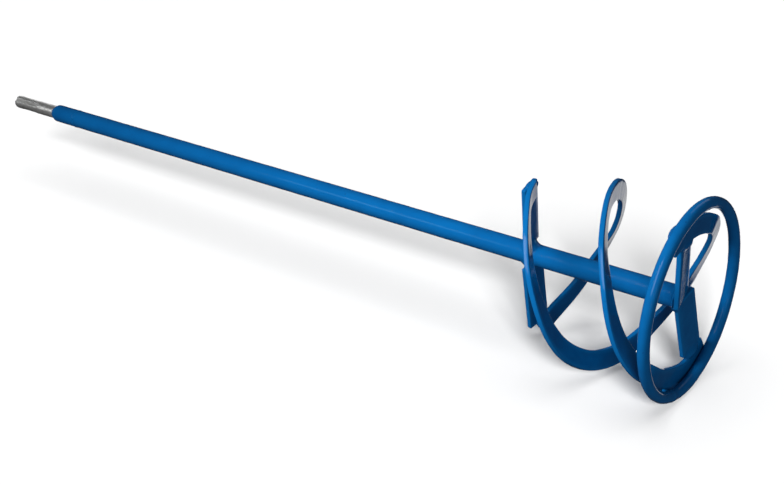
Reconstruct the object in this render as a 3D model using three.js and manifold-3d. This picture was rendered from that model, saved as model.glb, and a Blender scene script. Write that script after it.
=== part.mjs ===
// Mortar mixing paddle with an SDS-plus shank: a round rod carries an open helical head
// made of two steel ribbons, four pitched arms and a round wire ring.
//
// Millimetres, +Z up. The tool's axis lies along X: the origin is the centre of the flat end
// of the shank, and +X runs towards the head. Inside the head, "rise" is the distance from the
// plane of the ring back towards the shank, and "angle" is in degrees about the axis.

import * as THREE from 'three';
import { mergeVertices } from 'three/addons/utils/BufferGeometryUtils.js';
import Module from 'manifold-3d';

// ---------------------------------------------------------------- driving dimensions

const toolLength = 600;
const headDiameter = 120;
const ringWireDiameter = 7;
const rodDiameter = 13.4;
const gap = 0.3;

const shank = {
  diameter: 10,
  bareLength: 50,
  noseLength: 2,
  noseFlatRadius: 3.1,
  shoulderLength: 2,
  collarEnd: 74,
};
const ballGroove = { from: 6.5, to: 26, cutterRadius: 3.5, cutterOffset: 6.9, turn: -43 };
const keyway = { length: 29.6, width: 3, floorRadius: 3.4, turn: 47 };
const rodSeam = { width: 1.4, radius: 7 };

const headTurn = 19.5;
const armRise = { upper: 104, lower: 5.5 };
const armSection = { width: 17, thickness: 3, pitch: 8 };
const ribbonSection = { width: 12, thickness: 3 };
const rodEndRise = 8.6;

// Each arm: its direction, where it starts and ends outwards, and how far its middle line is
// set over onwards. The mitre cuts the first lower arm to meet the second at the axis.
const arms = {
  upper_arm_a: { rise: armRise.upper, angle: 333, from: 7.1, to: 47, offset: 0, mitre: 0 },
  upper_arm_b: { rise: armRise.upper, angle: 147, from: 7.1, to: 52.5, offset: 0, mitre: 0 },
  lower_arm_a: { rise: armRise.lower, angle: 336, from: 0.35, to: 34.4, offset: -1.8, mitre: 16.4 },
  lower_arm_b: { rise: armRise.lower, angle: 138.6, from: 0.35, to: 44.2, offset: -2.3, mitre: 0 },
};

// Each ribbon's stations: angle, rise of its middle, outer radius, and how far its outer edge
// leans towards the ring in degrees. A flat tail on the ring, one climbing turn at nearly
// full radius, and a short landing under its upper arm.
const ribbons = {
  ribbon_a: [
    [309, 4.7, 50, 0], [325, 4.7, 48.8, 0], [345, 4.7, 48.4, 0], [360, 4.9, 49.2, 0],
    [375, 5.4, 51, 0], [390, 6.8, 54.2, 0], [404, 9.8, 56.4, 0], [420, 15, 57, 0],
    [435, 20.2, 57, 0], [450, 25, 56.8, 0], [465, 30, 56, 0], [480, 34.8, 55.2, 2],
    [495, 38.8, 55.4, 5], [510, 42.5, 56, 8], [540, 50, 56.4, 13], [570, 58, 56.4, 16],
    [600, 66, 56.4, 16], [630, 77, 56, 15], [660, 89, 55.2, 13], [675, 94.8, 54.8, 10],
    [688, 97.8, 54.2, 6],
  ],
  ribbon_b: [
    [122, 5.5, 59, 0], [135, 5.5, 59, 0], [148, 5.5, 58, 0], [160, 5.4, 55.2, 0],
    [172, 5.2, 53.4, 0], [188, 5, 53, 0], [203, 5.6, 53.6, 0], [213, 8, 55, 1],
    [225, 11.8, 56.4, 3], [240, 17.5, 57, 4], [270, 28, 57, 6], [300, 40, 57, 6],
    [330, 50.6, 56.6, 3], [360, 58.6, 56.4, -4], [390, 66, 56.6, -10], [420, 74.6, 57, -8],
    [450, 86.2, 57, 0], [480, 95, 57, 4], [494, 97.9, 57, 5], [508, 98.6, 57, 5],
  ],
};

// Weld beads are eggs: their half sizes outwards, onwards and up the tool.
const rodBead = { outward: 4.2, onward: 9.2, upward: 3.8 };
const landingBead = { outward: 2.4, onward: 5.5, upward: 2.4 };
const tailBead = { outward: 2.6, onward: 6.5, upward: 2.9 };
const ringBead = { outward: 2.8, onward: 6, upward: 2.4 };
const rodBeadOutward = 7.4;
const landingWeld = { rise: 101.2, beyondArm: 0.6, onward: -2 };
const tailWeld = { rise: 5.2, beyondArm: 1 };
const ringWelds = [
  { name: 'ring_weld_a1', ribbon: 'ribbon_a', angle: 343, outward: 51.4, rise: 4.2 },
  { name: 'ring_weld_a2', ribbon: 'ribbon_a', angle: 316, outward: 51.8, rise: 4.2 },
  { name: 'ring_weld_b1', ribbon: 'ribbon_b', angle: 188, outward: 54.6, rise: 5 },
  { name: 'ring_weld_b2', ribbon: 'ribbon_b', angle: 168, outward: 55, rise: 5 },
];

// Profile of the fillet at the rod's end: distance out from the rod's side, height up the rod.
const rodEndFillet = [[0, 0], [0, 3.6], [0.7, 3.4], [1.6, 1.9], [3, 0.9], [3.4, 0]];
const rodEndFilletDrop = 0.2;

const wasm = await Module();
wasm.setup();

const bluePaint = { color: 0x0a55a0, roughness: 0.25, metalness: 0 };
const bareSteel = { color: 0x8b8c8a, roughness: 0.5, metalness: 0.9 };

// ---------------------------------------------------------------- geometry helpers

const radians = THREE.MathUtils.degToRad;
const ringPlane = toolLength - ringWireDiameter / 2;

/** A closed indexed geometry with shared vertices and no zero-area triangles. */
function closed(geometry) {
  const bare = geometry.clone();
  bare.deleteAttribute('normal');
  bare.deleteAttribute('uv');
  const merged = mergeVertices(bare, 1e-4);
  const corners = Array.from(merged.index.array);
  const kept = [];
  for (let i = 0; i < corners.length; i += 3) {
    const [a, b, c] = corners.slice(i, i + 3);
    if (a !== b && b !== c && c !== a) kept.push(a, b, c);
  }
  merged.setIndex(kept);
  return merged;
}

function toSolid(geometry) {
  const shell = closed(geometry);
  const vertProperties = Float32Array.from(shell.attributes.position.array);
  const triVerts = Uint32Array.from(shell.index.array);
  return new wasm.Manifold(new wasm.Mesh({ numProp: 3, vertProperties, triVerts }));
}

function toGeometry(solid) {
  const { vertProperties, triVerts } = solid.getMesh();
  const geometry = new THREE.BufferGeometry();
  geometry.setAttribute('position', new THREE.BufferAttribute(vertProperties, 3));
  geometry.setIndex(new THREE.BufferAttribute(triVerts, 1));
  return geometry;
}

/** The geometry with each cutter taken away. */
function cutBy(geometry, cutters) {
  let solid = toSolid(geometry);
  for (const cutter of cutters) solid = solid.subtract(toSolid(cutter));
  return toGeometry(solid);
}

/** A solid of revolution about X from [radius, x] points that start and end on the axis. */
function turned(profile, segments) {
  const points = profile.map(([radius, x]) => new THREE.Vector2(radius, x));
  return new THREE.LatheGeometry(points, segments).rotateZ(-Math.PI / 2);
}

/** A closed skin over a row of convex loops that all have the same number of points. */
function loft(loops) {
  const size = loops[0].length;
  const index = [];
  for (let i = 0; i + 1 < loops.length; i += 1) {
    for (let j = 0; j < size; j += 1) {
      const a = i * size + j;
      const b = i * size + ((j + 1) % size);
      index.push(a, b, a + size, b, b + size, a + size);
    }
  }
  const last = (loops.length - 1) * size;
  for (let j = 1; j + 1 < size; j += 1) {
    index.push(0, j + 1, j);
    index.push(last, last + j, last + j + 1);
  }
  const geometry = new THREE.BufferGeometry();
  const coordinates = loops.flat().flatMap((point) => point.toArray());
  geometry.setAttribute('position', new THREE.Float32BufferAttribute(coordinates, 3));
  geometry.setIndex(index);
  return geometry;
}

/** Corners of a flat bar's section with small chamfers, as [across, through] pairs. */
function barSection(width, thickness, chamfer) {
  const w = width / 2;
  const t = thickness / 2;
  return [
    [-w, -t + chamfer], [-w + chamfer, -t], [w - chamfer, -t], [w, -t + chamfer],
    [w, t - chamfer], [w - chamfer, t], [-w + chamfer, t], [-w, t - chamfer],
  ];
}

/** The value in a column at an angle, on a smooth curve through rows that start with an angle. */
function smoothValue(rows, column, angle) {
  const last = rows.length - 1;
  const next = rows.findIndex((row) => row[0] > angle);
  const k = next === -1 ? last - 1 : Math.max(next - 1, 0);
  const slopeAt = (n) => {
    const before = rows[Math.max(n - 1, 0)];
    const after = rows[Math.min(n + 1, last)];
    return (after[column] - before[column]) / (after[0] - before[0]);
  };
  const span = rows[k + 1][0] - rows[k][0];
  const u = (angle - rows[k][0]) / span;
  const rise = rows[k + 1][column] - rows[k][column];
  const startSlope = slopeAt(k) * span;
  const endSlope = slopeAt(k + 1) * span;
  return rows[k][column] + u * startSlope
    + u * u * (3 * rise - 2 * startSlope - endSlope)
    + u * u * u * (startSlope + endSlope - 2 * rise);
}

// ---------------------------------------------------------------- places in the head

/** Unit vectors of the head at an angle: outwards, onwards round the axis, and up the tool. */
function headFrame(angle) {
  const turn = radians(angle + headTurn);
  const out = new THREE.Vector3(0, Math.sin(turn), Math.cos(turn));
  const round = new THREE.Vector3(0, Math.cos(turn), -Math.sin(turn));
  return { out, round, up: new THREE.Vector3(-1, 0, 0) };
}

/** The point at a rise, a distance out and a distance onwards from the axis at an angle. */
function headPoint(angle, rise, outward, onward) {
  const { out, round } = headFrame(angle);
  const point = new THREE.Vector3(ringPlane - rise, 0, 0);
  return point.addScaledVector(out, outward).addScaledVector(round, onward);
}

// ---------------------------------------------------------------- shank and rod

function shankGeometry() {
  const radius = shank.diameter / 2;
  const collarRadius = rodDiameter / 2;
  const profile = [[0, 0]];
  for (const t of [0, 30, 60, 90]) {
    const widening = (radius - shank.noseFlatRadius) * Math.sin(radians(t));
    profile.push([shank.noseFlatRadius + widening, shank.noseLength * (1 - Math.cos(radians(t)))]);
  }
  for (const t of [0, 30, 60, 90]) {
    const widening = (collarRadius - radius) * Math.sin(radians(t));
    const along = shank.shoulderLength * (1 - Math.cos(radians(t)));
    profile.push([radius + widening, shank.bareLength + along]);
  }
  profile.push([collarRadius, shank.collarEnd], [0, shank.collarEnd]);
  return cutBy(turned(profile, 48), [...ballGrooveCutters(), ...keywayCutters()]);
}

/** Two round-ended cutters, one on each side of the shank. */
function ballGrooveCutters() {
  const { from, to, cutterRadius, cutterOffset, turn } = ballGroove;
  const reach = Math.sqrt(cutterRadius ** 2 - (cutterOffset - shank.diameter / 2) ** 2);
  const middle = (from + to) / 2;
  const straight = to - from - 2 * reach;
  return [0, 180].map((side) => {
    const cutter = new THREE.CapsuleGeometry(cutterRadius, straight, 5, 24);
    cutter.rotateZ(Math.PI / 2).translate(middle, 0, cutterOffset);
    return cutter.rotateX(radians(turn + side));
  });
}

/** Two open slots that run in from the end face and finish in a half round. */
function keywayCutters() {
  const { length, width, floorRadius, turn } = keyway;
  const end = length - width / 2;
  const outline = new THREE.Shape();
  outline.moveTo(-1, -width / 2);
  outline.lineTo(end, -width / 2);
  outline.absarc(end, 0, width / 2, -Math.PI / 2, Math.PI / 2, false);
  outline.lineTo(-1, width / 2);
  return [0, 180].map((side) => {
    const block = { depth: shank.diameter, bevelEnabled: false, curveSegments: 8 };
    const cutter = new THREE.ExtrudeGeometry(outline, block);
    return cutter.translate(0, 0, floorRadius).rotateX(radians(turn + side));
  });
}

/** The raised seam where the shank blank is welded to the rod. */
function rodSeamGeometry() {
  const start = shank.collarEnd + gap;
  const shoulder = rodDiameter / 2;
  const swell = rodSeam.radius - shoulder;
  const profile = [[0, start], [shoulder, start]];
  for (const t of [30, 60, 90, 120, 150]) {
    const along = rodSeam.width * (1 - Math.cos(radians(t))) / 2;
    profile.push([shoulder + swell * Math.sin(radians(t)), start + along]);
  }
  profile.push([shoulder, start + rodSeam.width], [0, start + rodSeam.width]);
  return turned(profile, 40);
}

function rodGeometry(grow = 0) {
  const start = shank.collarEnd + rodSeam.width + 2 * gap;
  const end = ringPlane - rodEndRise;
  const radius = rodDiameter / 2 + grow;
  return turned([[0, start], [radius, start], [radius, end + grow], [0, end + grow]], 40);
}

// ---------------------------------------------------------------- head

function ringGeometry(grow = 0) {
  const wireRadius = ringWireDiameter / 2;
  const middle = headDiameter / 2 - wireRadius;
  const torus = new THREE.TorusGeometry(middle, wireRadius + grow, 12, 72);
  return torus.rotateY(Math.PI / 2).translate(ringPlane, 0, 0);
}

/** A flat strip on edge that follows its stations about the axis. */
function ribbonGeometry(stations, grow = 0) {
  const first = stations[0][0];
  const last = stations[stations.length - 1][0];
  const steps = Math.round((last - first) / 6);
  const loops = [];
  for (let i = 0; i <= steps; i += 1) {
    const angle = last - ((last - first) * i) / steps;
    loops.push(ribbonLoop(stations, angle, grow));
  }
  return loft(loops);
}

/** The section of a ribbon at an angle, thickened to allow for the slope of the climb. */
function ribbonLoop(stations, angle, grow) {
  const rise = smoothValue(stations, 1, angle);
  const middle = smoothValue(stations, 2, angle) - ribbonSection.width / 2;
  const lean = radians(smoothValue(stations, 3, angle));
  const climb = smoothValue(stations, 1, angle + 0.5) - smoothValue(stations, 1, angle - 0.5);
  const width = ribbonSection.width + 2 * grow;
  const thickness = (ribbonSection.thickness + 2 * grow) * Math.hypot(1, climb / radians(middle));
  return barSection(width, thickness, 0.5).map(([across, through]) => headPoint(
    angle,
    rise + through * Math.cos(lean) - across * Math.sin(lean),
    middle + across * Math.cos(lean) + through * Math.sin(lean),
    0,
  ));
}

/** A pitched flat arm: one edge stands higher than the other, as on a propeller. */
function armGeometry({ rise, angle, from, to, offset, mitre }, grow = 0) {
  const { width, thickness, pitch } = armSection;
  const section = barSection(width + 2 * grow, thickness + 2 * grow, 0.5);
  const corners = section.map(([across, through]) => ({
    onward: offset + across * Math.cos(radians(pitch)) - through * Math.sin(radians(pitch)),
    rise: rise + across * Math.sin(radians(pitch)) + through * Math.cos(radians(pitch)),
  }));
  const inner = (corner) => from - grow + corner.onward * Math.tan(radians(mitre));
  return loft([
    corners.map((corner) => headPoint(angle, corner.rise, inner(corner), corner.onward)),
    corners.map((corner) => headPoint(angle, corner.rise, to + grow, corner.onward)),
  ]);
}

/** An egg-shaped weld bead, trimmed back from the pieces that it joins. */
function beadGeometry(place, size, neighbours) {
  const { out, round, up } = headFrame(place.angle);
  const bead = new THREE.SphereGeometry(1, 14, 9);
  const basis = new THREE.Matrix4().makeBasis(
    out.multiplyScalar(size.outward),
    round.multiplyScalar(size.onward),
    up.multiplyScalar(size.upward),
  );
  basis.setPosition(headPoint(place.angle, place.rise, place.outward, place.onward));
  return cutBy(bead.applyMatrix4(basis), neighbours);
}

/** The fillet weld round the rod's end, on the back of the two lower arms. */
function rodEndWeldGeometry() {
  const base = ringPlane - rodEndRise - rodEndFilletDrop;
  const inner = rodDiameter / 2 + gap;
  const outline = [...rodEndFillet, rodEndFillet[0]];
  const points = outline.map(([outward, height]) => new THREE.Vector2(inner + outward, base - height));
  return new THREE.LatheGeometry(points, 36).rotateZ(-Math.PI / 2);
}

// ---------------------------------------------------------------- assembly

const paddle = new THREE.Group();

function addPiece(name, geometry, finish) {
  const mesh = new THREE.Mesh(geometry, new THREE.MeshStandardMaterial(finish));
  mesh.name = name;
  paddle.add(mesh);
}

const grown = {
  rod: rodGeometry(gap),
  ring: ringGeometry(gap),
  ribbon_a: ribbonGeometry(ribbons.ribbon_a, gap),
  ribbon_b: ribbonGeometry(ribbons.ribbon_b, gap),
};
for (const [name, arm] of Object.entries(arms)) grown[name] = armGeometry(arm, gap);

addPiece('sds_shank', shankGeometry(), bareSteel);
addPiece('rod_seam', rodSeamGeometry(), bluePaint);
addPiece('rod', rodGeometry(), bluePaint);
addPiece('ring', ringGeometry(), bluePaint);
for (const [name, stations] of Object.entries(ribbons)) {
  addPiece(name, ribbonGeometry(stations), bluePaint);
}
for (const [name, arm] of Object.entries(arms)) addPiece(name, armGeometry(arm), bluePaint);
addPiece('rod_end_weld', rodEndWeldGeometry(), bluePaint);

// A saddle of weld metal wraps the inner end of each upper arm where it meets the rod.
for (const name of ['upper_arm_a', 'upper_arm_b']) {
  const place = { angle: arms[name].angle, rise: armRise.upper, outward: rodBeadOutward, onward: 0 };
  const neighbours = [grown.rod, grown[name]];
  addPiece(`${name}_rod_weld`, beadGeometry(place, rodBead, neighbours), bluePaint);
}

// Each upper arm is welded down on the landing of its ribbon, at the arm's outer end.
for (const [name, ribbon] of [['upper_arm_a', 'ribbon_a'], ['upper_arm_b', 'ribbon_b']]) {
  const outward = arms[name].to + landingWeld.beyondArm;
  const place = { angle: arms[name].angle, rise: landingWeld.rise, outward, onward: landingWeld.onward };
  const neighbours = [grown[name], grown[ribbon]];
  addPiece(`${name}_tip_weld`, beadGeometry(place, landingBead, neighbours), bluePaint);
}

// Each lower arm is butt-welded to the inner edge of the ribbon tail in front of it.
for (const [name, ribbon] of [['lower_arm_a', 'ribbon_a'], ['lower_arm_b', 'ribbon_b']]) {
  const outward = arms[name].to + tailWeld.beyondArm;
  const place = { angle: arms[name].angle, rise: tailWeld.rise, outward, onward: arms[name].offset };
  const neighbours = [grown[name], grown[ribbon]];
  addPiece(`${name}_tip_weld`, beadGeometry(place, tailBead, neighbours), bluePaint);
}

// Short beads join the outer edges of the ribbon tails to the wire ring.
for (const { name, ribbon, ...place } of ringWelds) {
  const neighbours = [grown.ring, grown[ribbon]];
  addPiece(name, beadGeometry({ ...place, onward: 0 }, ringBead, neighbours), bluePaint);
}

export default paddle;
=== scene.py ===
"""Looks of the mortar mixing paddle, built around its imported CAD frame.

Metres, +Z up, in the frame of the CAD: the tool lies along X with the end of its shank at the
origin and its head at +X. Every visible piece is rebuilt finely from the CAD node it replaces.
"""

import math

import bmesh
import bpy
import numpy as np
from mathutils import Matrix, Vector, noise
from mathutils.bvhtree import BVHTree


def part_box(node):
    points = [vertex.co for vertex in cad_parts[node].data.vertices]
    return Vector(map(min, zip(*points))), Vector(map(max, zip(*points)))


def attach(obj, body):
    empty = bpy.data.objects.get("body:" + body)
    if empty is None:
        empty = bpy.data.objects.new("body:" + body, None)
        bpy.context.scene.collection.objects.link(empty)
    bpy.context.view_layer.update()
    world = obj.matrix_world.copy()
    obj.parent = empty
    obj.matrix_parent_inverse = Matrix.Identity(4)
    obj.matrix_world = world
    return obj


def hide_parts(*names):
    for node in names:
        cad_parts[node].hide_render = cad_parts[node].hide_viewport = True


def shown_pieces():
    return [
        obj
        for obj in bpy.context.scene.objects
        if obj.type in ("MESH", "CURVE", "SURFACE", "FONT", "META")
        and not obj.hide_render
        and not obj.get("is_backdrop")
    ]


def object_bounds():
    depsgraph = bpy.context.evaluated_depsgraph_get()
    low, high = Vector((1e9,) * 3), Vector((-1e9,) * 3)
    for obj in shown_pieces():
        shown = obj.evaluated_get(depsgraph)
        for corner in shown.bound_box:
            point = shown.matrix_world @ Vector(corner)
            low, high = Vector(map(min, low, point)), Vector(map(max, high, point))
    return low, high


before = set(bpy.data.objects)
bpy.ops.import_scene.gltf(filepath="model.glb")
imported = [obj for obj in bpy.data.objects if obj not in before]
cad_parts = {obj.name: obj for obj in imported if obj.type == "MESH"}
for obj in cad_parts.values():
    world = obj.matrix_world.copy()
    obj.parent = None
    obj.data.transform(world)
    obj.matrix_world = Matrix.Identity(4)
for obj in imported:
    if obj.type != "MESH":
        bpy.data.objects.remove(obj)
cad_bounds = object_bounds()

MM = 0.001
AXIS_X = Vector((1.0, 0.0, 0.0))

# ------------------------------------------------------------------ sizes

# Flat bars, which are the ribbons and the arms.
BAR_EDGE = 0.6 * MM  # rounding of the edges and ends
BAR_CORNER_STEPS = 4
BAR_END_STEPS = 3
BAR_UNEVEN = 0.05 * MM  # unevenness of a rolled face
RIBBON_WANDER = 0.16 * MM  # how far a ribbon strays from its helix
RIBBON_STEPS = 5  # sections drawn for each section of the CAD
ARM_BOW = 0.12 * MM  # how far an arm bows out of its plane
ARM_STATIONS = 28
ARM_EDGE = 20 * MM  # an edge longer than this runs along its arm
ARM_CORNER = 30  # and is a corner if its faces meet at more than this, in degrees
SECTION_GAP = 0.25  # vertices nearer than this about X are one section, in degrees
TAIL_RISE = 7.5 * MM  # a ribbon nearer than this to the ring's plane is its tail
TAIL_BLEND = 1.5 * MM  # length of the climb out of the tail
TAIL_TOUCH = 0.5 * MM  # how far the tail is pressed on to the ring

# Rod and seam.
ROUND_WANDER = 0.03 * MM  # how far a turned surface strays from its radius
ROD_UNEVEN = 0.06 * MM
ROD_STATIONS = 340
ROD_START_REACH = 0.25 * MM  # how far the rod runs on under the seam
ROD_START_RIM = 0.1 * MM
ROD_END_REACH = 1.2 * MM  # how far the rod runs on into its end weld
SEAM_REACH = 1.1 * MM
SEAM_SINK = 0.02 * MM
SEAM_UNEVEN = 0.09 * MM
SEAM_STATIONS = 24

# Ring.
RING_STATIONS = 260
RING_AROUND = 40
RING_OUT_OF_FLAT = 0.18 * MM
RING_OUT_OF_ROUND = 0.14 * MM
RING_RIM_INSET = 0.1 * MM  # room for the unevenness inside the CAD's box
RING_WIRE_INSET = 0.05 * MM
BUTT_ANGLE = 196.0  # where the wire's ends were welded together, in degrees
BUTT_WIDTH = 2.2 * MM
BUTT_HEIGHT = 0.16 * MM

# Shank and collar.
SHANK_RADIUS = 5.0 * MM
SHANK_VOXEL = 0.2 * MM
NOSE_END = 2.4 * MM  # end of the rounded nose
ROUND_SKIN = 0.09 * MM  # a point this near to the shank's radius belongs on it
SHOULDER_START = 50.0 * MM
SHOULDER_LENGTH = 2.0 * MM
SHOULDER_FILLET = 0.35 * MM
SHANK_OVERLAP = 0.2 * MM  # how far the bare piece runs on inside the shoulder
COLLAR_SEGMENTS = 128
COLLAR_OVERLAP = 0.1 * MM  # how far the collar runs on under the seam
COLLAR_UNEVEN = 0.03 * MM
PAINT_SKIN = 0.07 * MM
PAINT_RIM = 0.26 * MM  # length over which the paint reaches its full thickness
PAINT_LINE = {"middle": 49.0 * MM, "slope": 0.25, "wave": 0.28 * MM, "ripple": 0.12 * MM}

# Welds.
WELD_VOXEL = 0.45 * MM
BEAD_GROWTH_IN_MM = 0.55  # how far a bead is swollen, to reach across the CAD's gaps
FILLET = {
    "rod_leg": 4.4 * MM, "arm_leg": 3.6 * MM, "half_width": 6.5 * MM, "hollow": 0.2,
    "root": 0.9 * MM, "rod_sink": 0.15 * MM, "stand_off": 0.05 * MM,
}
ROD_END_FILLET = {
    "leg": 2.1 * MM, "hollow": 0.25, "root": 1.5 * MM, "sink": 0.5 * MM, "back": 0.3 * MM,
}
RIPPLE_PITCH = 1.7 * MM
RIPPLE_BOW = 0.12  # how far a ripple lags at the bead's sides
RIPPLE_CLEAR = 0.25 * MM  # height over the joined parts at which ripples begin
RIPPLE_FADE = 0.50 * MM  # further height at which they are full
BLEND_MARGIN = 0.55  # share of a weld's spread over which it is moved
BLEND_END = 1.25  # where its outskirts begin, in its own half sizes
BLEND_WIDTH = 0.45
WELD_LIFT = 0.05 * MM  # a weld stands this much over its remesh,
WELD_SINK = 0.09 * MM  # and its outskirts lie this much under the parts they copy
SADDLE = {"spread": 3.5 * MM, "ripple": 0.05 * MM, "rounds": 8}
HUB = {"spread": 3.5 * MM, "ripple": 0.0, "rounds": 10}
SMALL_WELD = {"spread": 3 * MM, "ripple": 0.045 * MM, "rounds": 12}

# Vertices nearer than this are one.
MERGE = 1e-6
FINE_MERGE = 1e-7

# Height of a vertex over its neighbours that counts as a full edge.
EDGE_REACH = 0.05 * MM
SHANK_EDGE_REACH = 0.018 * MM
WELD_EDGE_REACH = 0.09 * MM

# ------------------------------------------------------------------ mesh helpers


def mesh_object(name, points, faces, smooth=True):
    """A linked mesh object with its normals turned outwards."""
    mesh = bpy.data.meshes.new(name)
    mesh.from_pydata([tuple(p) for p in points], [], faces)
    shell = bmesh.new()
    shell.from_mesh(mesh)
    bmesh.ops.recalc_face_normals(shell, faces=shell.faces)
    shell.to_mesh(mesh)
    shell.free()
    mesh.polygons.foreach_set("use_smooth", [smooth] * len(mesh.polygons))
    made = bpy.data.objects.new(name, mesh)
    bpy.context.scene.collection.objects.link(made)
    return made


def skin(name, loops, joined=False):
    """A surface over loops of equal length, closed by end caps or joined end to end."""
    size = len(loops[0])
    count = len(loops)
    faces = []
    for i in range(count if joined else count - 1):
        here = i * size
        there = ((i + 1) % count) * size
        for j in range(size):
            k = (j + 1) % size
            faces.append((here + j, here + k, there + k, there + j))
    if not joined:
        faces.append(tuple(range(size)))
        faces.append(tuple(reversed(range((count - 1) * size, count * size))))
    return mesh_object(name, [p for loop in loops for p in loop], faces)


def coordinates(mesh):
    """Vertex positions as an (n, 3) array."""
    flat = np.empty(len(mesh.vertices) * 3)
    mesh.vertices.foreach_get("co", flat)
    return flat.reshape(-1, 3)


def set_coordinates(mesh, points):
    """Moves a mesh's vertices to the rows of an (n, 3) array."""
    mesh.vertices.foreach_set("co", np.ascontiguousarray(points).ravel())
    mesh.update()


def vertex_normals(mesh):
    """Vertex normals as an (n, 3) array."""
    flat = np.empty(len(mesh.vertices) * 3)
    mesh.vertex_normals.foreach_get("vector", flat)
    return flat.reshape(-1, 3)


def neighbour_pull(mesh, points):
    """The vector from each vertex to the mean of its neighbours."""
    pairs = np.empty(len(mesh.edges) * 2, np.int64)
    mesh.edges.foreach_get("vertices", pairs)
    a, b = pairs.reshape(-1, 2).T
    total = np.zeros_like(points)
    np.add.at(total, a, points[b])
    np.add.at(total, b, points[a])
    degree = np.bincount(np.concatenate([a, b]), minlength=len(points))
    return total / np.maximum(degree, 1)[:, None] - points


def relax(mesh, rounds, weight=None):
    """Smooths a mesh, by a weight of 0 to 1 at each vertex."""
    points = coordinates(mesh)
    share = 0.5 if weight is None else 0.5 * weight[:, None]
    for _ in range(rounds):
        points = points + share * neighbour_pull(mesh, points)
    set_coordinates(mesh, points)


def mark_edges(piece, reach=EDGE_REACH):
    """Stores in "edge" how far each vertex stands on a convex edge, from 0 to 1."""
    mesh = piece.data
    points = coordinates(mesh)
    pull = neighbour_pull(mesh, points)
    height = -np.einsum("ij,ij->i", pull, vertex_normals(mesh))
    level = np.clip(height / reach, 0.0, 1.0)
    attribute = mesh.attributes.new("edge", "FLOAT", "POINT")
    attribute.data.foreach_set("value", level.astype(np.float32))


def roughen(piece, amount, scale, seed):
    """Moves every vertex along its normal by smooth noise of up to that many metres."""
    mesh = piece.data
    points = coordinates(mesh)
    normals = vertex_normals(mesh)
    shift = Vector((seed * 3.17, seed * 7.31, seed * 1.73))
    rise = np.array([noise.noise(Vector(p) * scale + shift) for p in points])
    set_coordinates(mesh, points + normals * (amount * rise)[:, None])


def remeshed(name, mesh, voxel):
    """A new object whose mesh is the voxel remesh of the given mesh."""
    rough = bpy.data.objects.new(name + "_rough", mesh)
    bpy.context.scene.collection.objects.link(rough)
    step = rough.modifiers.new("remesh", "REMESH")
    step.mode = "VOXEL"
    step.voxel_size = voxel
    step.use_smooth_shade = True
    bpy.context.view_layer.update()
    ready = rough.evaluated_get(bpy.context.evaluated_depsgraph_get())
    fine = bpy.data.meshes.new_from_object(ready)
    fine.name = name
    bpy.data.objects.remove(rough)
    made = bpy.data.objects.new(name, fine)
    bpy.context.scene.collection.objects.link(made)
    return made


def clipped(mesh, low, high):
    """A closed bmesh copy of a closed mesh, cut down to a box."""
    part = bmesh.new()
    part.from_mesh(mesh)
    bmesh.ops.remove_doubles(part, verts=part.verts, dist=FINE_MERGE)
    for axis in range(3):
        for corner, sign in ((low, -1.0), (high, 1.0)):
            place = [0.0, 0.0, 0.0]
            place[axis] = corner[axis]
            facing = [0.0, 0.0, 0.0]
            facing[axis] = sign
            everything = part.verts[:] + part.edges[:] + part.faces[:]
            bmesh.ops.bisect_plane(
                part, geom=everything, plane_co=place, plane_no=facing, clear_outer=True
            )
            open_edges = [e for e in part.edges if e.is_boundary]
            if open_edges:
                bmesh.ops.holes_fill(part, edges=open_edges, sides=0)
    return part


def dressed(piece, material, slot, *nodes):
    """Gives a piece its finish, and lets it stand for its CAD nodes on the tool's one body."""
    piece.data.materials.clear()
    piece.data.materials.append(material)
    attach(piece, "root")
    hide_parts(*nodes)
    return piece


# ------------------------------------------------------------------ flat bars


def bar_outline(half_width, half_thickness, inset=0.0):
    """A rectangle with rounded corners as (across, through) pairs, drawn in by an inset."""
    radius = min(BAR_EDGE, half_thickness * 0.95)
    core_width = half_width - radius
    core_thickness = half_thickness - radius
    spread = max(radius - inset, 0.0)
    outline = []
    for quarter, (sx, sy) in enumerate(((1, 1), (-1, 1), (-1, -1), (1, -1))):
        for step in range(BAR_CORNER_STEPS + 1):
            turn = math.radians(90 * quarter + 90 / BAR_CORNER_STEPS * step)
            across = sx * core_width + spread * math.cos(turn)
            through = sy * core_thickness + spread * math.sin(turn)
            outline.append((across, through))
        if quarter in (0, 2):
            face = sy * (half_thickness - inset)
            outline.extend((sx * core_width * f, face) for f in (0.6, 0.2, -0.2, -0.6))
    return outline


def end_steps():
    """(inset, pull-back) pairs that round a bar's end, from the end face to full section."""
    steps = []
    for k in range(BAR_END_STEPS + 1):
        turn = math.radians(90 * k / BAR_END_STEPS)
        steps.append((BAR_EDGE * (1 - math.sin(turn)), BAR_EDGE * (1 - math.cos(turn))))
    return steps


def section_groups(mesh):
    """The CAD ribbon's sections: its vertices grouped by their angle about X."""
    part = bmesh.new()
    part.from_mesh(mesh)
    bmesh.ops.remove_doubles(part, verts=part.verts, dist=MERGE)
    groups = {}
    for v in part.verts:
        angle = math.degrees(math.atan2(v.co.y, v.co.z)) % 360
        key = next((k for k in groups if abs(k - angle) < SECTION_GAP), angle)
        groups.setdefault(key, []).append(v.co.copy())
    part.free()
    return list(groups.values())


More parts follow.
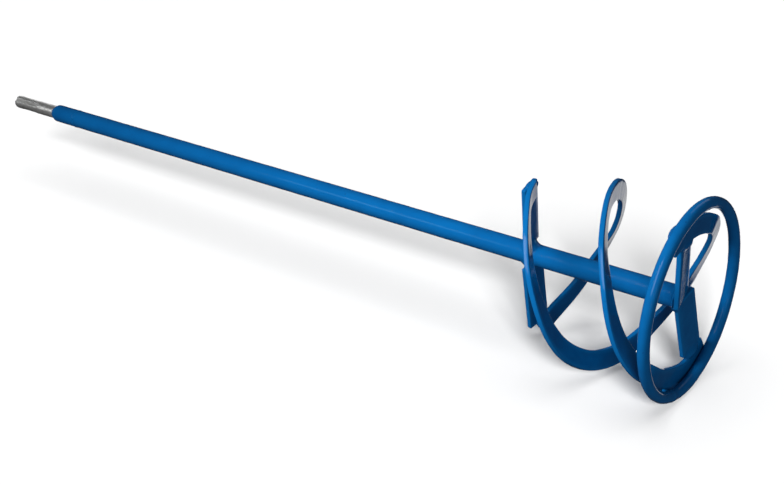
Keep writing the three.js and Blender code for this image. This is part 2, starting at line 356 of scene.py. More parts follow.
def ribbon_sections(mesh):
    """Each section as [x, radius, angle, lean, half width, half thickness], in order.

    The angle is about X and starts at +Z. A row ends with its middle until chained() drops it.
    """
    rows = []
    for corners in section_groups(mesh):
        middle = sum(corners, Vector()) / len(corners)
        angle = math.atan2(middle.y, middle.z)
        out = Vector((0.0, math.sin(angle), math.cos(angle)))
        flat = [((c - middle).dot(out), (c - middle).x) for c in corners]
        spread = np.cov(np.array(flat).T)
        vectors = np.linalg.eigh(spread)[1]
        along = vectors[:, 1] * (1.0 if vectors[0, 1] > 0 else -1.0)
        lean = math.atan2(along[1], along[0])
        across = [f[0] * along[0] + f[1] * along[1] for f in flat]
        through = [f[1] * along[0] - f[0] * along[1] for f in flat]
        rows.append([middle.x, middle.dot(out), angle, lean, max(across), max(through), middle])
    return chained(rows)


def chained(rows):
    """Sections in order along the ribbon, from its tail on the ring, with angles that run on."""
    distance = [[(a[6] - b[6]).length for b in rows] for a in rows]
    seconds = [sorted(line)[2] for line in distance]
    ends = sorted(range(len(rows)), key=lambda i: -seconds[i])[:2]
    here = max(ends, key=lambda i: rows[i][0])
    left = set(range(len(rows))) - {here}
    order = [here]
    while left:
        here = min(left, key=lambda i: distance[order[-1]][i])
        left.discard(here)
        order.append(here)
    chain = [rows[i][:6] for i in order]
    for before, row in zip(chain, chain[1:]):
        while row[2] - before[2] > math.pi:
            row[2] -= 2 * math.pi
        while row[2] - before[2] < -math.pi:
            row[2] += 2 * math.pi
    return np.array(chain)


def spline_rows(rows, per_step):
    """Rows of numbers resampled on a smooth curve through them."""
    padded = np.vstack([2 * rows[0] - rows[1], rows, 2 * rows[-1] - rows[-2]])
    fine = []
    for i in range(len(rows) - 1):
        p0, p1, p2, p3 = padded[i:i + 4]
        for k in range(per_step):
            t = k / per_step
            fine.append(
                0.5 * (2 * p1 + (p2 - p0) * t + (2 * p0 - 5 * p1 + 4 * p2 - p3) * t ** 2
                       + (3 * p1 - p0 - 3 * p2 + p3) * t ** 3)
            )
    fine.append(rows[-1])
    return np.array(fine)


def ribbon_point(row, across, through, onward):
    """A point of a ribbon's section, moved onwards round the axis by so many metres."""
    x, radius, angle, lean = row[:4]
    out = radius + across * math.cos(lean) - through * math.sin(lean)
    turn = angle + onward / radius
    return Vector((
        x + across * math.sin(lean) + through * math.cos(lean),
        out * math.sin(turn),
        out * math.cos(turn),
    ))


def ribbon_piece(name, node, seed):
    """A hot-rolled strip bent on edge round the tool, with its slight unevenness."""
    rows = spline_rows(ribbon_sections(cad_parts[node].data), RIBBON_STEPS)
    ring_plane = (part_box("ring")[0].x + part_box("ring")[1].x) / 2
    on_ring = np.clip((TAIL_RISE - (ring_plane - rows[:, 0])) / TAIL_BLEND, 0.0, 1.0)
    rows[:, 0] += TAIL_TOUCH * on_ring * on_ring * (3 - 2 * on_ring)
    heading = 1.0 if rows[-1][2] > rows[0][2] else -1.0
    loops = []
    for inset, back in end_steps():
        outline = bar_outline(rows[0][4], rows[0][5], inset)
        loops.append([ribbon_point(rows[0], a, t, heading * back) for a, t in outline])
    for k, row in enumerate(rows[1:-1]):
        wander = row.copy()
        wander[0] += RIBBON_WANDER * noise.noise(Vector((k * 0.05, seed, 0.0)))
        wander[1] += RIBBON_WANDER * noise.noise(Vector((k * 0.06, 0.0, seed)))
        loops.append([ribbon_point(wander, a, t, 0.0) for a, t in bar_outline(row[4], row[5])])
    for inset, back in reversed(end_steps()):
        outline = bar_outline(rows[-1][4], rows[-1][5], inset)
        loops.append([ribbon_point(rows[-1], a, t, -heading * back) for a, t in outline])
    piece = skin(name, loops)
    roughen(piece, BAR_UNEVEN, 260, seed)
    mark_edges(piece)
    return piece


def arm_frame(mesh):
    """An arm's centre, its directions and its corners along them, read from its CAD mesh."""
    part = bmesh.new()
    part.from_mesh(mesh)
    bmesh.ops.remove_doubles(part, verts=part.verts, dist=MERGE)
    centre = sum((v.co for v in part.verts), Vector()) / len(part.verts)
    long = [e for e in part.edges if e.calc_length() > ARM_EDGE and len(e.link_faces) == 2]
    sides = [e for e in long if abs(e.calc_face_angle(0.0)) > math.radians(ARM_CORNER)]
    out = Vector((0.0, centre.y, centre.z)).normalized()
    runs = [e.verts[1].co - e.verts[0].co for e in sides]
    along = sum((run if run.dot(out) > 0 else -run for run in runs), Vector())
    along.normalize()
    through = max(part.faces, key=lambda f: f.calc_area()).normal.copy()
    through = (through - along * through.dot(along)).normalized()
    if through.x < 0:
        through = -through
    across = through.cross(along)
    local = [
        ((v.co - centre).dot(along), (v.co - centre).dot(across), (v.co - centre).dot(through))
        for v in part.verts
    ]
    part.free()
    return centre, along, across, through, np.array(local)


def arm_piece(name, node, seed):
    """A flat arm with softened edges, sheared square at its ends."""
    centre, along, across, through, local = arm_frame(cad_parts[node].data)
    half_width = local[:, 1].max()
    half_thickness = local[:, 2].max()
    inner = local[local[:, 0] < 0]
    outer_end = local[:, 0].max()
    slope, inner_end = np.polyfit(inner[:, 1], inner[:, 0], 1)

    def loop(fraction, inset, back):
        """One section of the arm, at a fraction of its length and moved back from there."""
        points = []
        for a, t in bar_outline(half_width, half_thickness, inset):
            start = inner_end + slope * a
            reach = start + (outer_end - start) * fraction + back
            bow = ARM_BOW * noise.noise(Vector((reach * 60, seed, 0.5)))
            points.append(centre + along * reach + across * a + through * (t + bow))
        return points

    loops = [loop(0.0, inset, back) for inset, back in end_steps()]
    loops += [loop(k / ARM_STATIONS, 0.0, 0.0) for k in range(1, ARM_STATIONS)]
    loops += [loop(1.0, inset, -back) for inset, back in reversed(end_steps())]
    piece = skin(name, loops)
    roughen(piece, BAR_UNEVEN, 300, seed)
    mark_edges(piece)
    return piece


# ------------------------------------------------------------------ round pieces


def turned_piece(name, rings, segments):
    """A surface of revolution about X from (x, radius) rings, closed at both ends."""
    loops = []
    for x, radius in rings:
        turn = [2 * math.pi * j / segments for j in range(segments)]
        loops.append([Vector((x, radius * math.sin(a), radius * math.cos(a))) for a in turn])
    return skin(name, loops)


def rod_piece():
    """The drawn rod: very slightly uneven under its paint."""
    low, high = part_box("rod")
    radius = high.z
    start = low.x - ROD_START_REACH
    end = high.x + ROD_END_REACH
    rings = [(start, radius - BAR_EDGE)]
    for k in range(ROD_STATIONS + 1):
        x = start + ROD_START_RIM + (end - start - ROD_START_RIM) * k / ROD_STATIONS
        rings.append((x, radius + ROUND_WANDER * noise.noise(Vector((x * 55, 0.3, 0.7)))))
    piece = turned_piece("rod_bar", rings, 64)
    roughen(piece, ROD_UNEVEN, 90, 4)
    mark_edges(piece)
    return piece


def seam_piece():
    """The friction-weld seam between the shank blank and the rod, ground nearly flush."""
    low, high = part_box("rod_seam")
    rod_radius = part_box("rod")[1].z
    middle = (low.x + high.x) / 2
    proud = high.z - rod_radius
    rings = []
    for k in range(SEAM_STATIONS + 1):
        f = k / SEAM_STATIONS * 2 - 1
        swell = proud * (math.cos(math.pi * f) + 1) / 2
        rings.append((middle + SEAM_REACH * f, rod_radius - SEAM_SINK + swell))
    rings.insert(0, (middle - SEAM_REACH, rod_radius - BAR_EDGE))
    rings.append((middle + SEAM_REACH, rod_radius - BAR_EDGE))
    piece = turned_piece("rod_seam_bead", rings, 96)
    roughen(piece, SEAM_UNEVEN, 420, 9)
    mark_edges(piece)
    return piece


def ring_piece():
    """The wire ring: bent round by rollers, with a dressed butt weld."""
    low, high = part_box("ring")
    wire = (high.x - low.x) / 2
    middle = (low.x + high.x) / 2
    radius = high.z - wire
    butt = math.radians(BUTT_ANGLE)
    loops = []
    for i in range(RING_STATIONS):
        angle = 2 * math.pi * i / RING_STATIONS
        waver = Vector((math.cos(angle), math.sin(angle), 0.4))
        off = RING_OUT_OF_FLAT * noise.noise(waver * 1.7)
        rim = RING_OUT_OF_ROUND * noise.noise(waver * 2.3 + AXIS_X * 5)
        near = math.remainder(angle - butt, 2 * math.pi) * radius / BUTT_WIDTH
        section = wire - RING_WIRE_INSET + BUTT_HEIGHT * math.exp(-near * near)
        loop = []
        for j in range(RING_AROUND):
            turn = 2 * math.pi * j / RING_AROUND
            out = radius - RING_RIM_INSET + rim + section * math.cos(turn)
            x = middle - RING_WIRE_INSET + off * 0.5 + section * math.sin(turn)
            loop.append(Vector((x, out * math.sin(angle), out * math.cos(angle))))
        loops.append(loop)
    piece = skin("ring_wire", loops, joined=True)
    roughen(piece, ROD_UNEVEN, 200, 2)
    mark_edges(piece)
    return piece


def shank_piece():
    """The bare end of the shank: the CAD's machined shape with softened, worn rims."""
    low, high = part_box("sds_shank")
    far = Vector((SHOULDER_START + SHANK_OVERLAP, high.y, high.z))
    part = clipped(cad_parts["sds_shank"].data, low - Vector((1, 1, 1)), far)
    mesh = bpy.data.meshes.new("shank_rough")
    part.to_mesh(mesh)
    part.free()
    piece = remeshed("shank_bare", mesh, SHANK_VOXEL)
    relax(piece.data, 3)
    points = coordinates(piece.data)
    radius = np.hypot(points[:, 1], points[:, 2])
    on_skin = (radius > SHANK_RADIUS - ROUND_SKIN) & (points[:, 0] > NOSE_END)
    factor = np.where(on_skin, SHANK_RADIUS / np.maximum(radius, 1e-9), 1.0)
    points[:, 1:] *= factor[:, None]
    set_coordinates(piece.data, points)
    relax(piece.data, 1)
    mark_edges(piece, SHANK_EDGE_REACH)
    return piece


def collar_profile(line, y, high):
    """The collar's (x, radius) pairs from its paint line to its far end, on the side facing y."""
    collar_radius = high.z
    skin_radius = SHANK_RADIUS + PAINT_SKIN
    end = high.x + COLLAR_OVERLAP
    # The paint starts inside the steel and swells to its full thickness.
    column = [
        (line - 0.02 * MM, SHANK_RADIUS - 0.4 * MM),
        (line, SHANK_RADIUS - 0.05 * MM),
        (line + 0.10 * MM, SHANK_RADIUS + PAINT_SKIN * 0.6),
        (line + PAINT_RIM, skin_radius),
    ]
    # Painted shank, up to the shoulder.
    flat_end = SHOULDER_START - SHOULDER_FILLET
    for k in range(1, 6):
        x = line + PAINT_RIM + (flat_end - line - PAINT_RIM) * k / 5
        column.append((x, skin_radius))
    # Small hollow at the shoulder's foot.
    for k in range(1, 5):
        turn_in = math.radians(90 * k / 4)
        column.append((
            flat_end + SHOULDER_FILLET * math.sin(turn_in),
            skin_radius + SHOULDER_FILLET * (1 - math.cos(turn_in)),
        ))
    # Rounded shoulder.
    start = skin_radius + SHOULDER_FILLET
    for k in range(1, 15):
        turn_out = math.radians(90 * k / 14)
        column.append((
            SHOULDER_START + SHOULDER_LENGTH * (1 - math.cos(turn_out)),
            start + (collar_radius - start) * math.sin(turn_out),
        ))
    # Collar of the rod's diameter, closed inwards at its end.
    for k in range(1, 41):
        x = SHOULDER_START + SHOULDER_LENGTH
        x += (end - x) * k / 40
        column.append((x, collar_radius + ROUND_WANDER * noise.noise(Vector((x * 80, y, 2.2)))))
    column.append((end, collar_radius - BAR_EDGE))
    return column


def collar_piece():
    """The painted collar, its rounded shoulder and the slanting edge of the paint."""
    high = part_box("sds_shank")[1]
    columns = []
    for j in range(COLLAR_SEGMENTS):
        turn = 2 * math.pi * j / COLLAR_SEGMENTS
        y, z = math.sin(turn), math.cos(turn)
        uneven = PAINT_LINE["wave"] * noise.noise(Vector((y * 2, z * 2, 0.1)))
        uneven += PAINT_LINE["ripple"] * noise.noise(Vector((y * 7, z * 7, 3.1)))
        line = PAINT_LINE["middle"] + PAINT_LINE["slope"] * SHANK_RADIUS * y + uneven
        columns.append((y, z, collar_profile(line, y, high)))
    loops = []
    for k in range(len(columns[0][2])):
        loops.append([Vector((c[k][0], c[k][1] * y, c[k][1] * z)) for y, z, c in columns])
    piece = skin("shank_collar", loops)
    roughen(piece, COLLAR_UNEVEN, 200, 6)
    mark_edges(piece)
    return piece


# ------------------------------------------------------------------ welds


def grown_bead(node):
    """The CAD's bead, swollen enough to reach across the gaps around it."""
    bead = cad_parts[node].data.copy()
    part = bmesh.new()
    part.from_mesh(bead)
    bmesh.ops.remove_doubles(part, verts=part.verts, dist=MERGE)
    part.normal_update()
    for v in part.verts:
        v.co += v.normal * BEAD_GROWTH_IN_MM * MM
    part.to_mesh(bead)
    part.free()
    return bead


def saddle_bead(node, arm_node):
    """Two hollow fillets that fill the corners between a flat arm's faces and the round rod."""
    centre, along, across, _, local = arm_frame(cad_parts[arm_node].data)
    rod_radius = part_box("rod")[1].z
    face = local[:, 2].max()
    half = FILLET["half_width"]
    union = bmesh.new()
    for side in (-1.0, 1.0):
        loops = []
        count = 18
        for k in range(count + 1):
            # Sections across the arm, closest together at the fillet's ends, where it tapers.
            a = half * math.sin(math.radians(-90 + 180 * k / count)) * 0.999
            taper = max(1 - (a / half) ** 2, 0.0) ** 0.4 * 0.9 + 0.1
            floor = math.sqrt(max(rod_radius ** 2 - a * a, 0.0))
            toe = FILLET["rod_leg"] * taper
            top = FILLET["arm_leg"] * taper
            outline = [(floor - FILLET["root"], -face)]
            for step in range(7):
                f = step / 6
                sink = FILLET["hollow"] * math.sin(math.pi * f)
                height = top * f * (1 - sink * 0.5) - FILLET["rod_sink"] * (1 - f)
                reach = toe * (1 - f) * (1 - sink)
                outline.append((floor + height, reach + FILLET["stand_off"]))
            outline.append((floor + top, -face))
            loop = []
            for height, reach in outline:
                x = centre.x + side * (face + reach)
                loop.append(Vector((x, 0, 0)) + along * height + across * a)
            loops.append(loop)
        scrap = skin("scrap", loops)
        union.from_mesh(scrap.data)
        bpy.data.objects.remove(scrap)
    mesh = bpy.data.meshes.new(node + "_saddle")
    union.to_mesh(mesh)
    union.free()
    return mesh


def rod_end_bead():
    """A slim hollow fillet round the rod's end, on the backs of the lower arms."""
    rod_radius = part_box("rod")[1].z
    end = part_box("rod")[1].x + ROD_END_REACH
    leg = ROD_END_FILLET["leg"]
    root = rod_radius - ROD_END_FILLET["root"]
    rings = [(end - leg, root)]
    for k in range(9):
        f = k / 8
        hollow = 1 - ROD_END_FILLET["hollow"] * math.sin(math.pi * f)
        x = end - leg * (1 - f) * hollow - ROD_END_FILLET["sink"] * f
        rings.append((x, rod_radius + leg * f * hollow))
    rings.append((end + ROD_END_FILLET["back"], rod_radius + leg))
    rings.append((end + ROD_END_FILLET["back"], root))
    scrap = turned_piece("scrap", rings, 48)
    mesh = scrap.data.copy()
    bpy.data.objects.remove(scrap)
    return mesh


def weld_piece(name, node, bead, joined_pieces, spread, ripple, rounds):
    """A weld that flows out on to the pieces it joins: their union, smoothed near the bead.

    Ripples show where the bead stands clear of the joined pieces. Away from the bead, the copy
    of those pieces sinks just under them.
    """
    low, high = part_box(node)
    centre = (low + high) / 2
    half = (high - low) / 2
    margin = Vector((spread, spread, spread))
    union = bmesh.new()
    for piece in joined_pieces:
        part = clipped(piece.data, low - margin, high + margin)
        scrap = bpy.data.meshes.new("scrap")
        part.to_mesh(scrap)
        part.free()
        union.from_mesh(scrap)
        bpy.data.meshes.remove(scrap)
    bare = BVHTree.FromBMesh(union)
    union.from_mesh(bead)
    bpy.data.meshes.remove(bead)
    mesh = bpy.data.meshes.new(name + "_union")
    union.to_mesh(mesh)
    union.free()
    piece = remeshed(name, mesh, WELD_VOXEL)
    # Weight 1 on the bead, falling to 0 at the edge of the copied parts.
    points = coordinates(piece.data)
    reach = np.array(half) + spread * BLEND_MARGIN
    away = np.linalg.norm((points - np.array(centre)) / reach, axis=1)
    weight = np.clip((BLEND_END - away) / BLEND_WIDTH, 0.0, 1.0)
    weight = weight * weight * (3 - 2 * weight)
    relax(piece.data, rounds, weight)
    relax(piece.data, 2)
    # Bowed ripples along the bead's longer side.
    points = coordinates(piece.data)
    normals = vertex_normals(piece.data)
    long_axis = int(np.argmax(np.array(half)[1:])) + 1
    offset = points - np.array(centre)
    bowed = offset[:, long_axis] + RIPPLE_BOW * np.abs(offset[:, 0])
    wave = np.cos(2 * math.pi * bowed / RIPPLE_PITCH)
    proud = np.array([bare.find_nearest(Vector(p))[3] for p in points])
    wave = wave * np.clip((proud - RIPPLE_CLEAR) / RIPPLE_FADE, 0.0, 1.0)
    lift = weight * (ripple * wave + WELD_LIFT) - (1 - weight) * WELD_SINK
    set_coordinates(piece.data, points + normals * lift[:, None])
    mark_edges(piece, WELD_EDGE_REACH)
    return piece


# ------------------------------------------------------------------ materials

# Linear colours.
PAINT = {
    "deep": (0.0010, 0.066, 0.215), "even": (0.0012, 0.078, 0.245), "light": (0.0016, 0.090, 0.272),
    # The lighter edge colour on the next line is partly thinner paint and partly a painted
    # highlight.
    "run": (0.0010, 0.062, 0.205), "thin_paint_and_highlight": (0.003, 0.125, 0.350), "speck": (0.004, 0.030, 0.110),
}
STEEL = {
    "dark": (0.480, 0.478, 0.470), "even": (0.610, 0.608, 0.600), "light": (0.740, 0.738, 0.730),
    "stain": (0.400, 0.390, 0.372), "pit": (0.180, 0.176, 0.170), "worn": (0.82, 0.82, 0.81),
}
PAPER = {"dark": (0.60, 0.60, 0.60), "light": (0.62, 0.62, 0.62)}

# The Mix node's colour sockets, which share their names with its other sockets.
COLOUR_A, COLOUR_B, COLOUR_RESULT = 6, 7, 2


def new_material(name):
    """A material with only a Principled shader and an output."""
    material = bpy.data.materials.new(name)
    material.use_nodes = True
    tree = material.node_tree
    tree.nodes.clear()
    output = tree.nodes.new("ShaderNodeOutputMaterial")
    shader = tree.nodes.new("ShaderNodeBsdfPrincipled")
    tree.links.new(shader.outputs["BSDF"], output.inputs["Surface"])
    return material, tree, shader


def noise_node(tree, vector, scale, detail, roughness):
    """Noise from about 0.2 to 0.8, with so many cells to each unit of the vector."""
    node = tree.nodes.new("ShaderNodeTexNoise")
    node.inputs["Scale"].default_value = scale
    node.inputs["Detail"].default_value = detail
    node.inputs["Roughness"].default_value = roughness
    tree.links.new(vector, node.inputs["Vector"])
    return node.outputs["Fac"]


def stretched(tree, vector, scale):
    """A vector scaled along each axis, for streaks along the tool."""
    node = tree.nodes.new("ShaderNodeMapping")
    node.inputs["Scale"].default_value = scale
    tree.links.new(vector, node.inputs["Vector"])
    return node.outputs["Vector"]


def ramp(tree, factor, stops):
    """A colour ramp through (position, colour) stops."""
    node = tree.nodes.new("ShaderNodeValToRGB")
    band = node.color_ramp
    while len(band.elements) < len(stops):
        band.elements.new(0.5)
    for element, (position, colour) in zip(band.elements, stops):
        element.position = position
        element.color = (*colour, 1.0)
    tree.links.new(factor, node.inputs["Fac"])
    return node.outputs["Color"]


def remapped(tree, value, low, high, to_low, to_high):
    """A value's range from low to high, mapped to another range and clamped there."""
    node = tree.nodes.new("ShaderNodeMapRange")
    keys = ("From Min", "From Max", "To Min", "To Max")
    for key, number in zip(keys, (low, high, to_low, to_high)):
        node.inputs[key].default_value = number
    tree.links.new(value, node.inputs["Value"])
    return node.outputs["Result"]


def arithmetic(tree, operation, a, b):
    """A Math node over a socket and a number, or over two sockets."""
    node = tree.nodes.new("ShaderNodeMath")
    node.operation = operation
    tree.links.new(a, node.inputs[0])
    if isinstance(b, float):
        node.inputs[1].default_value = b
    else:
        tree.links.new(b, node.inputs[1])
    return node.outputs[0]


def blended(tree, factor, a, b):
    """The colour at socket a, turning into the plain colour b as the factor nears 1."""
    node = tree.nodes.new("ShaderNodeMix")
    node.data_type = "RGBA"
    tree.links.new(factor, node.inputs["Factor"])
    tree.links.new(a, node.inputs[COLOUR_A])
    node.inputs[COLOUR_B].default_value = (*b, 1.0)
    return node.outputs[COLOUR_RESULT]


def bump(tree, height, distance, strength, normal=None):
    """A normal bumped by a height of 0 to 1 that stands for a distance in metres."""
    node = tree.nodes.new("ShaderNodeBump")
    node.inputs["Strength"].default_value = strength
    node.inputs["Distance"].default_value = distance
    tree.links.new(height, node.inputs["Height"])
    if normal is not None:
        tree.links.new(normal, node.inputs["Normal"])
    return node.outputs["Normal"]


def object_vector(tree):
    """Position on the piece, in metres."""
    return tree.nodes.new("ShaderNodeTexCoord").outputs["Object"]


def edge_value(tree):
    """The "edge" value that mark_edges stores."""
    node = tree.nodes.new("ShaderNodeAttribute")
    node.attribute_name = "edge"
    return node.outputs["Fac"]


def blue_paint():
    """One dipped coat of glossy blue: darker pools and runs, lighter edges that are partly thinner
    paint and partly a painted highlight, specks and orange peel.
    """
    material, tree, shader = new_material("blue_paint")
    here = object_vector(tree)
    edge = edge_value(tree)
    pooled = noise_node(tree, here, 42.0, 3.0, 0.55)
    streaky = noise_node(tree, stretched(tree, here, (12.0, 90.0, 90.0)), 1.0, 3.0, 0.5)
    stops = ((0.25, PAINT["deep"]), (0.52, PAINT["even"]), (0.80, PAINT["light"]))
    colour = ramp(tree, pooled, stops)
    run = remapped(tree, streaky, 0.35, 0.70, 0.0, 0.35)
    colour = blended(tree, run, colour, PAINT["run"])
    # Convex edges turn a lighter blue: partly thinner paint drawn back from the edge, partly a
    # painted highlight.
    thin_paint_and_highlight = arithmetic(tree, "MULTIPLY", edge, 0.5)
    colour = blended(tree, thin_paint_and_highlight, colour, PAINT["thin_paint_and_highlight"])
    specks = noise_node(tree, here, 620.0, 1.0, 0.4)
    speck = remapped(tree, specks, 0.76, 0.80, 0.0, 0.6)
    colour = blended(tree, speck, colour, PAINT["speck"])
    tree.links.new(colour, shader.inputs["Base Color"])
    gloss = noise_node(tree, here, 130.0, 3.0, 0.6)
    rough = remapped(tree, gloss, 0.3, 0.75, 0.10, 0.17)
    tree.links.new(rough, shader.inputs["Roughness"])
    shader.inputs["IOR"].default_value = 1.47
    shader.inputs["Coat Weight"].default_value = 0.15
    shader.inputs["Coat Roughness"].default_value = 0.05
    shader.inputs["Coat IOR"].default_value = 1.45
    peel = noise_node(tree, here, 520.0, 2.0, 0.45)
    sag = noise_node(tree, here, 95.0, 1.0, 0.4)
    normal = bump(tree, sag, 0.0006, 0.3)
    normal = bump(tree, peel, 0.00004, 0.4, normal)
    tree.links.new(normal, shader.inputs["Normal"])
    tree.links.new(normal, shader.inputs["Coat Normal"])
    return material


def bare_steel():
    """Hardened steel with a satin mottle, handling stains, small pits and brighter worn rims."""
    material, tree, shader = new_material("bare_steel")
    here = object_vector(tree)
    edge = edge_value(tree)
    mottle = noise_node(tree, here, 260.0, 5.0, 0.65)
    stain = noise_node(tree, stretched(tree, here, (70.0, 240.0, 240.0)), 1.0, 4.0, 0.6)
    grain = noise_node(tree, here, 2600.0, 2.0, 0.6)
    stops = ((0.25, STEEL["dark"]), (0.50, STEEL["even"]), (0.78, STEEL["light"]))
    colour = ramp(tree, mottle, stops)
    dull = remapped(tree, stain, 0.42, 0.68, 0.0, 0.55)
    colour = blended(tree, dull, colour, STEEL["stain"])
    pit = remapped(tree, grain, 0.62, 0.74, 0.0, 0.45)
    colour = blended(tree, pit, colour, STEEL["pit"])
    worn = arithmetic(tree, "MULTIPLY", edge, 0.9)
    colour = blended(tree, worn, colour, STEEL["worn"])
    tree.links.new(colour, shader.inputs["Base Color"])
    shader.inputs["Metallic"].default_value = 0.88
    rough = remapped(tree, mottle, 0.25, 0.75, 0.34, 0.48)
    rough = arithmetic(tree, "SUBTRACT", rough, arithmetic(tree, "MULTIPLY", edge, 0.16))
    tree.links.new(rough, shader.inputs["Roughness"])
    normal = bump(tree, mottle, 0.00012, 0.5)
    normal = bump(tree, grain, 0.00005, 0.7, normal)
    tree.links.new(normal, shader.inputs["Normal"])
    return material


def floor_paper():
    """Plain matt white paper."""
    material, tree, shader = new_material("floor_paper")
    here = object_vector(tree)
    tone = noise_node(tree, here, 3.0, 2.0, 0.5)
    colour = ramp(tree, tone, ((0.3, PAPER["dark"]), (0.7, PAPER["light"])))
    tree.links.new(colour, shader.inputs["Base Color"])
    shader.inputs["Roughness"].default_value = 0.9
    shader.inputs["Specular IOR Level"].default_value = 0.0
    return material


# ------------------------------------------------------------------ studio

VIEW = {
    "azimuth": 37.56, "elevation": 24.07, "distance": 0.7684,
    "target": (0.4157, -0.0379, 0.0), "lens": 57.4,
}
FLOOR_DROP = 0.5 * MM  # the floor lies this much under the tool
FLOOR_REACH = 6.0
HEAD = (0.52, 0.0, 0.0)
NEAR_HEAD = (0.43, 0.0, 0.0)
ROD_FRONT = (0.36, 0.0, 0.0)
ROD_MIDDLE = (0.30, 0.0, 0.0)
SHANK = (0.03, 0.0, 0.0)
ROOM = {"colour": (0.95, 0.97, 1.0, 1.0), "diffuse": 0.16, "glossy": 0.02}
WHITE = (1.0, 1.0, 1.0)
STREAK_TINT = (0.28, 0.72, 0.9)


def direction(azimuth, elevation):
    """From the object towards a viewer at an azimuth and elevation, in degrees.

    Azimuth 0 is the view from -Y, and 90 the view from +X.
    """
    a = math.radians(azimuth)
    e = math.radians(elevation)
    return Vector((math.sin(a) * math.cos(e), -math.cos(a) * math.cos(e), math.sin(e)))


def add_camera():
    """The camera at the photograph's viewing angle."""
    data = bpy.data.cameras.new("camera")
    data.sensor_width = 36.0
    data.lens = VIEW["lens"]
    data.clip_start = 0.01
    camera = bpy.data.objects.new("camera", data)
    back = direction(VIEW["azimuth"], VIEW["elevation"])
    camera.location = Vector(VIEW["target"]) + back * VIEW["distance"]
    camera.rotation_euler = back.to_track_quat("Z", "Y").to_euler()
    bpy.context.scene.collection.objects.link(camera)
    bpy.context.scene.camera = camera


def link_light(lamp, receivers):
    """Lets a lamp light only the given objects."""
    group = bpy.data.collections.new(lamp.name + "_receivers")
    for piece in receivers:
        group.objects.link(piece)
    lamp.light_linking.receiver_collection = group


def add_softbox(name, target, azimuth, elevation, distance, size, radiance,
                mirrored=True, lights=True, tint=WHITE, receivers=None):
    """An area lamp that faces the target, its strength given as its own brightness.

    One that isn't mirrored is seen in no reflection, and one that doesn't light is seen only there.
    """
    data = bpy.data.lights.new(name, "AREA")
    data.shape = "RECTANGLE"
    data.size, data.size_y = size
    data.energy = radiance * math.pi * size[0] * size[1]
    data.color = tint
    lamp = bpy.data.objects.new(name, data)
    back = direction(azimuth, elevation)
    lamp.location = Vector(target) + back * distance
    lamp.rotation_euler = back.to_track_quat("Z", "Y").to_euler()
    lamp.visible_glossy = mirrored
    lamp.visible_diffuse = lights
    bpy.context.scene.collection.objects.link(lamp)
    if receivers:
        link_light(lamp, receivers)


def add_sun(name, azimuth, elevation, angle, strength, receivers):
    """A soft distant lamp, seen only as light and never as a reflection."""
    data = bpy.data.lights.new(name, "SUN")
    data.energy = strength
    data.angle = math.radians(angle)
    lamp = bpy.data.objects.new(name, data)
    lamp.rotation_euler = direction(azimuth, elevation).to_track_quat("Z", "Y").to_euler()
    lamp.visible_glossy = False
    bpy.context.scene.collection.objects.link(lamp)
    link_light(lamp, receivers)


def add_floor():
    """A wide sheet of paper just under the tool, which neither lights it nor shows in it."""
    level = cad_bounds[0][2] - FLOOR_DROP
    corners = ((-1, -1), (1, -1), (1, 1), (-1, 1))
    points = [(x * FLOOR_REACH, y * FLOOR_REACH, level) for x, y in corners]
    floor = mesh_object("floor", points, [(0, 1, 2, 3)], smooth=False)
    floor.data.materials.append(floor_paper())
    floor.visible_glossy = False
    floor.visible_diffuse = False
    floor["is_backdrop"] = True
    return floor


def add_room():
    """A dim room round the tool, which is white where the camera looks past the paper."""
    world = bpy.data.worlds.new("studio")
    world.use_nodes = True
    tree = world.node_tree
    room = tree.nodes["Background"]
    room.inputs["Color"].default_value = ROOM["colour"]
    paper = tree.nodes.new("ShaderNodeBackground")
    paper.inputs["Color"].default_value = (*WHITE, 1.0)
    paper.inputs["Strength"].default_value = 1.0
    seen = tree.nodes.new("ShaderNodeLightPath")
    glow = tree.nodes.new("ShaderNodeMapRange")
    glow.inputs["To Min"].default_value = ROOM["diffuse"]
    glow.inputs["To Max"].default_value = ROOM["glossy"]
    tree.links.new(seen.outputs["Is Glossy Ray"], glow.inputs["Value"])
    tree.links.new(glow.outputs["Result"], room.inputs["Strength"])
    either = tree.nodes.new("ShaderNodeMixShader")
    tree.links.new(seen.outputs["Is Camera Ray"], either.inputs[0])
    tree.links.new(room.outputs[0], either.inputs[1])
    tree.links.new(paper.outputs[0], either.inputs[2])
    tree.links.new(either.outputs[0], tree.nodes["World Output"].inputs["Surface"])
    bpy.context.scene.world = world


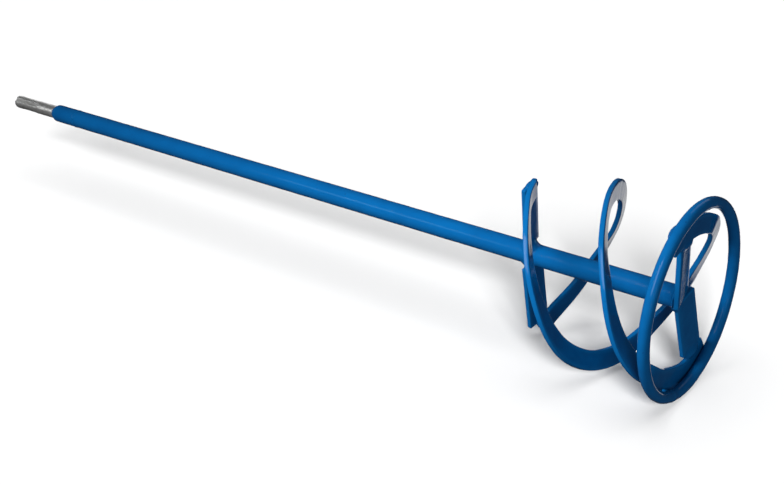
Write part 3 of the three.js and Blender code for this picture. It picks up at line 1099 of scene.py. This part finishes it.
def light_studio(floor):
    """Separate lamps for the paper, the whole tool, the rod and the bare shank.

    The lamps are given as (azimuth, elevation) towards them, then a sun's width in degrees and
    its strength, or a softbox's distance, size and brightness.
    """
    add_room()
    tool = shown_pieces()
    along_rod = [p for p in tool if p.name.startswith(("rod", "shank")) or "rod_weld" in p.name]
    bare = [p for p in tool if p.name == "shank_bare"]
    add_sun("paper_front", 36, 29, 15, 6.1, [floor])
    add_sun("paper_top", 0, 84, 50, 1.85, [floor])
    add_sun("key", -38, 27, 12, 1.5, tool)
    add_softbox("key_near", NEAR_HEAD, -4, 42, 0.40, (0.2, 0.2), 16.5, mirrored=False,
                receivers=tool)
    add_softbox("streak", ROD_FRONT, 324, 23, 1.2, (0.40, 0.26), 1.3, lights=False,
                tint=STREAK_TINT, receivers=along_rod)
    add_softbox("shank_strip", SHANK, -8, 26, 0.8, (1.7, 0.24), 3.2, receivers=bare)
    add_softbox("shank_rear", SHANK, 188, 30, 0.8, (1.7, 0.24), 1.8, receivers=bare)
    add_softbox("rear_streak", ROD_MIDDLE, 135, 20, 1.2, (0.9, 0.26), 1.3, lights=False,
                tint=STREAK_TINT, receivers=along_rod)
    add_sun("fill", 45, 10, 30, 1.25, tool)
    add_sun("back", 218, 5, 30, 2.6, tool)
    add_softbox("window", HEAD, -2, 40, 1.5, (0.45, 1.0), 2.4, lights=False)
    add_softbox("table", HEAD, 193, -28, 1.2, (1.0, 0.42), 0.64, lights=False)
    add_softbox("rear_window", HEAD, 178, 40, 1.5, (0.45, 1.0), 0.4, lights=False)
    bpy.context.scene.view_settings.view_transform = "Standard"
    bpy.context.scene.view_settings.look = "None"


# ------------------------------------------------------------------ the paddle

add_camera()
paint = blue_paint()
steel = bare_steel()

rod = rod_piece()
ring = ring_piece()
ribbons = {
    name: ribbon_piece(name + "_strip", name, seed)
    for name, seed in (("ribbon_a", 1), ("ribbon_b", 2))
}
arms = {
    name: arm_piece(name + "_bar", name, seed)
    for seed, name in enumerate(("upper_arm_a", "upper_arm_b", "lower_arm_a", "lower_arm_b"))
}
dressed(shank_piece(), steel, "bare_steel", "sds_shank")
dressed(collar_piece(), paint, "blue_paint", "sds_shank")
dressed(seam_piece(), paint, "blue_paint", "rod_seam")

for name in ("upper_arm_a", "upper_arm_b"):
    node = name + "_rod_weld"
    bead = saddle_bead(node, name)
    piece = weld_piece(node + "_bead", node, bead, (rod, arms[name]), **SADDLE)
    dressed(piece, paint, "blue_paint", node)

hub = weld_piece(
    "rod_end_weld_bead", "rod_end_weld", rod_end_bead(),
    (rod, arms["lower_arm_a"], arms["lower_arm_b"]), **HUB,
)
dressed(hub, paint, "blue_paint", "rod_end_weld")

small_welds = (
    ("upper_arm_a_tip_weld", (arms["upper_arm_a"], ribbons["ribbon_a"])),
    ("upper_arm_b_tip_weld", (arms["upper_arm_b"], ribbons["ribbon_b"])),
    ("lower_arm_a_tip_weld", (arms["lower_arm_a"], ribbons["ribbon_a"])),
    ("lower_arm_b_tip_weld", (arms["lower_arm_b"], ribbons["ribbon_b"])),
    ("ring_weld_a1", (ring, ribbons["ribbon_a"])),
    ("ring_weld_a2", (ring, ribbons["ribbon_a"])),
    ("ring_weld_b1", (ring, ribbons["ribbon_b"])),
    ("ring_weld_b2", (ring, ribbons["ribbon_b"])),
)
for node, neighbours in small_welds:
    piece = weld_piece(node + "_bead", node, grown_bead(node), neighbours, **SMALL_WELD)
    dressed(piece, paint, "blue_paint", node)

dressed(rod, paint, "blue_paint", "rod")
dressed(ring, paint, "blue_paint", "ring")
for node, piece in {**ribbons, **arms}.items():
    dressed(piece, paint, "blue_paint", node)

light_studio(add_floor())
